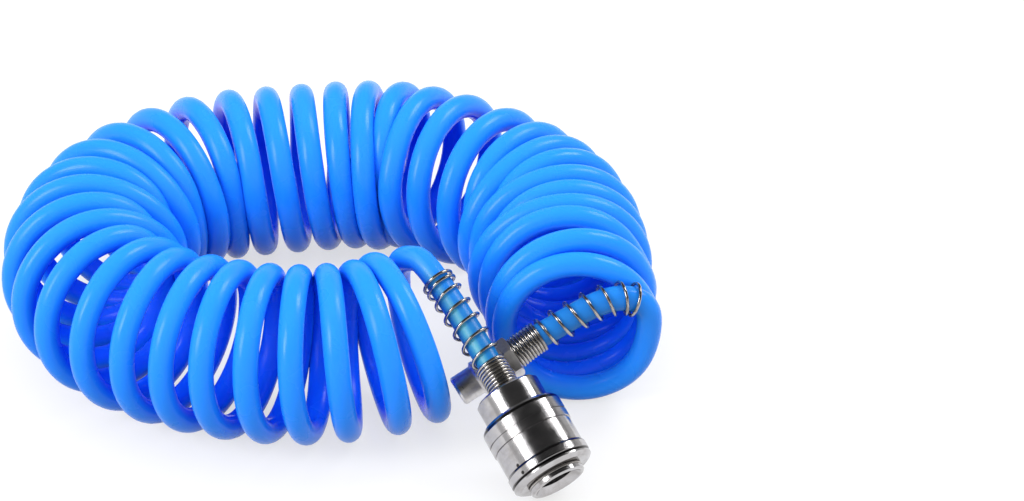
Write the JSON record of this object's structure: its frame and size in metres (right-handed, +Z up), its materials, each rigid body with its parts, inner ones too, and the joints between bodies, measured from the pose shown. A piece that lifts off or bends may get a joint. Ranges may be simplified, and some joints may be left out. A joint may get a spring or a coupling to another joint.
{
  "type": "coiled air hose",
  "caption": "Spring-coiled blue air hose laid in an open ring, with a quick coupler and a plug on its ends, each with a wire bend guard.",
  "frame": {"origin": "centre of the whole part's box, on the surface that the hose lies on", "axes": "+Z up from that surface, +X along the ring's longer side towards the plug end of the coil, +Y away from the open side of the ring where both fittings lie"},
  "size_m": [0.214, 0.1876, 0.057],
  "materials": {
    "hose_blue": "gloss",
    "plated_brass": "polished",
    "spring_wire": "polished",
    "ball_steel": "polished",
    "plain_brass": "satin",
    "seal_rubber": "satin"
  },
  "bodies": {
    "hose": {"bend_guard_coupler": "spring_wire", "bend_guard_plug": "spring_wire", "cap_seal": "seal_rubber", "coupler_body": "plated_brass", "coupler_end_cap": "plated_brass", "coupler_hose_stem": "plain_brass", "hose_coil": "hose_blue", "hose_tail_coupler": "hose_blue", "hose_tail_plug": "hose_blue", "plug_body": "plated_brass", "plug_hose_nut": "plated_brass", "sleeve_spring": "spring_wire", "sleeve_stop_ring": "spring_wire", "socket_seal": "seal_rubber", "valve_spring": "spring_wire"},
    "sleeve": {"coupler_sleeve": "plated_brass"},
    "valve": {"valve_poppet": "plain_brass", "valve_seal": "seal_rubber"},
    "ball_1": {"locking_ball_1": "ball_steel"},
    "ball_2": {"locking_ball_2": "ball_steel"},
    "ball_3": {"locking_ball_3": "ball_steel"},
    "ball_4": {"locking_ball_4": "ball_steel"},
    "ball_5": {"locking_ball_5": "ball_steel"},
    "ball_6": {"locking_ball_6": "ball_steel"}
  },
  "joints": [
    {"name": "sleeve_slide", "type": "slide", "parent": "hose", "child": "sleeve", "axis": [-0.4818, 0.7089, 0.515], "range_m": [0, 0.0035], "stiffness_N_per_m": 400, "springref_m": -0.004, "deforming": ["sleeve_spring"]},
    {"name": "valve_slide", "type": "slide", "parent": "hose", "child": "valve", "axis": [-0.4818, 0.7089, 0.515], "range_m": [0, 0.0045], "stiffness_N_per_m": 300, "springref_m": -0.004, "deforming": ["valve_spring"]},
    {"name": "ball_1_slide", "type": "slide", "parent": "hose", "child": "ball_1", "axis": [-0.2895, 0.426, -0.8572], "range_m": [0, 0.00105]},
    {"name": "ball_2_slide", "type": "slide", "parent": "hose", "child": "ball_2", "axis": [-0.861, -0.2738, -0.4286], "range_m": [0, 0.00105]},
    {"name": "ball_3_slide", "type": "slide", "parent": "hose", "child": "ball_3", "axis": [-0.5715, -0.6998, 0.4286], "range_m": [0, 0.00105]},
    {"name": "ball_4_slide", "type": "slide", "parent": "hose", "child": "ball_4", "axis": [0.2895, -0.426, 0.8572], "range_m": [0, 0.00105]},
    {"name": "ball_5_slide", "type": "slide", "parent": "hose", "child": "ball_5", "axis": [0.861, 0.2738, 0.4286], "range_m": [0, 0.00105]},
    {"name": "ball_6_slide", "type": "slide", "parent": "hose", "child": "ball_6", "axis": [0.5715, 0.6998, -0.4286], "range_m": [0, 0.00105]}
  ],
  "couplings": [
    {"joint": "ball_1_slide", "follows": "sleeve_slide", "ratio": 0.3},
    {"joint": "ball_2_slide", "follows": "sleeve_slide", "ratio": 0.3},
    {"joint": "ball_3_slide", "follows": "sleeve_slide", "ratio": 0.3},
    {"joint": "ball_4_slide", "follows": "sleeve_slide", "ratio": 0.3},
    {"joint": "ball_5_slide", "follows": "sleeve_slide", "ratio": 0.3},
    {"joint": "ball_6_slide", "follows": "sleeve_slide", "ratio": 0.3}
  ]
}
